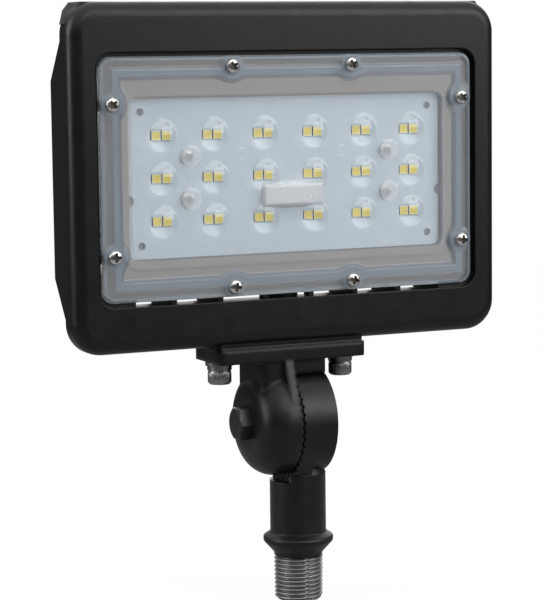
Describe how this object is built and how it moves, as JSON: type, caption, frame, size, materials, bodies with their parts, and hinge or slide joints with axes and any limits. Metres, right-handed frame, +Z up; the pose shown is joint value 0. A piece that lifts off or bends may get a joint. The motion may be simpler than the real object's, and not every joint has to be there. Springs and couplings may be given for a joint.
{
  "type": "led flood light",
  "caption": "Outdoor LED flood light: black die-cast frame and finned back, clear lens with domes, on a toothed tilting knuckle with a threaded pipe stem.",
  "frame": {"origin": "on the stem's axis, at the thread's shoulder under the flange", "axes": "+Z up along the stem, away from the thread; -Y out of the lens, towards the lit side; +X to the right as the lens is looked at; the tilt bolt runs along X"},
  "size_m": [0.1956, 0.0564, 0.2547],
  "materials": {
    "black_casting": "satin",
    "clear_lens": "gloss",
    "seal": "matte",
    "board": "satin",
    "phosphor": "satin",
    "white_plastic": "matte",
    "lead_sleeve": "satin",
    "driver_case": "matte",
    "bright_steel": "satin",
    "zinc_steel": "satin",
    "black_steel": "satin"
  },
  "bodies": {
    "stem": {"lower_knuckle": "black_casting", "knuckle_bolt": "black_steel", "knuckle_nut": "zinc_steel", "knuckle_seal": "seal"},
    "head": {"housing": "black_casting", "driver_cover": "black_casting", "upper_knuckle": "black_casting", "lens": "clear_lens", "lens_gasket": "seal", "cover_gasket": "seal", "mounting_gasket": "seal", "lead_grommet": "seal", "led_board": "board", "led_packages": "phosphor", "terminal_block": "white_plastic", "output_leads": "lead_sleeve", "driver_module": "driver_case", "lens_screws": "bright_steel", "board_screws": "bright_steel", "driver_screws": "bright_steel", "cover_screws": "bright_steel", "plate_screws": "zinc_steel", "flat_washers": "zinc_steel", "spring_washers": "zinc_steel"}
  },
  "joints": [
    {"name": "tilt", "type": "hinge", "parent": "stem", "child": "head", "pos_m": [0, 0, 0.0575], "axis": [1, 0, 0], "range_deg": [-90, 90]}
  ]
}
